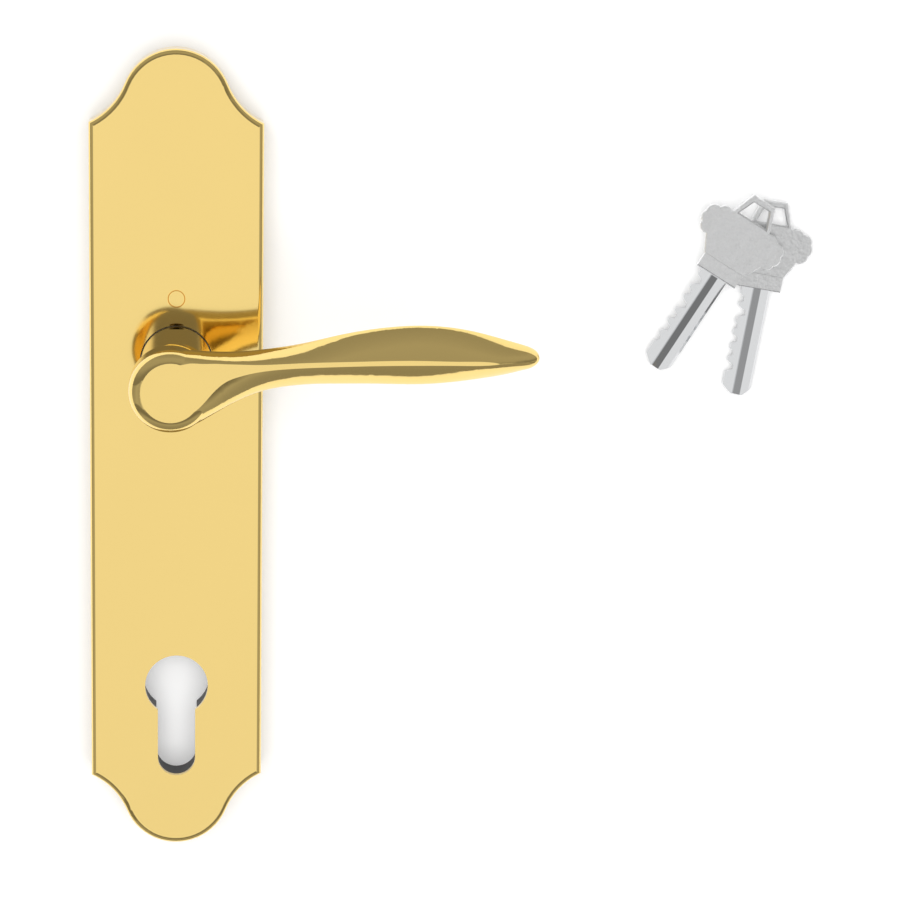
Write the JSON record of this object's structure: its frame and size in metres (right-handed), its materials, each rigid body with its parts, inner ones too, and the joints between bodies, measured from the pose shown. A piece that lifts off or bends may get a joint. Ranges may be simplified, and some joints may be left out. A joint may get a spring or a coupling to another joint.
{
  "type": "lever door handle on a long plate",
  "caption": "Polished brass lever door handle on a long shaped backplate with a profile-cylinder cut-out, sprung to return, with its loose keys beside it.",
  "frame": {"origin": "on the spindle's axis, in the plane of the door face that the plate's back lies on", "axes": "+Z out of the door, +Y up the door along the plate, +X along the lever to its tip"},
  "size_m": [0.2013, 0.2234, 0.053],
  "materials": {
    "polished_brass": "mirror polished and lacquered",
    "raw_brass": "machined",
    "zinc_plated_steel": "zinc plated, satin",
    "spring_steel": "oil tempered",
    "black_steel": "black oxide",
    "grey_nylon": "glass-filled nylon, matte",
    "white_nylon": "smooth moulded",
    "nickel_silver": "nickel plated, satin bow"
  },
  "bodies": {
    "plate": {"cover_plate": "polished_brass", "cover_studs": "raw_brass", "cover_screws": "zinc_plated_steel", "carrier_plate": "grey_nylon", "upper_fixing_post": "zinc_plated_steel", "lower_fixing_post": "zinc_plated_steel", "keeper_plate": "zinc_plated_steel", "keeper_screws": "zinc_plated_steel", "stop_pin": "raw_brass", "bearing_bush": "white_nylon", "wave_washer": "spring_steel", "thrust_washer": "spring_steel", "return_spring": "spring_steel"},
    "lever": {"lever_grip": "polished_brass", "lever_neck": "polished_brass", "grub_screw": "black_steel", "spring_driver": "zinc_plated_steel", "circlip": "spring_steel"},
    "rear_key": {"key_rear": "nickel_silver"},
    "front_key": {"key_front": "nickel_silver"}
  },
  "joints": [
    {"name": "lever_turn", "type": "hinge", "parent": "plate", "child": "lever", "pos_m": [0, 0, 0.03], "axis": [0, 0, -1], "range_deg": [0, 45], "stiffness_Nm_per_rad": 0.8, "springref_deg": -20.05, "deforming": ["return_spring"]},
    {"name": "rear_key_lift", "type": "slide", "parent": "plate", "child": "rear_key", "axis": [0, 0, 1], "range_m": [0, 0.06]},
    {"name": "front_key_lift", "type": "slide", "parent": "rear_key", "child": "front_key", "axis": [0, 0, 1], "range_m": [0, 0.06]}
  ]
}
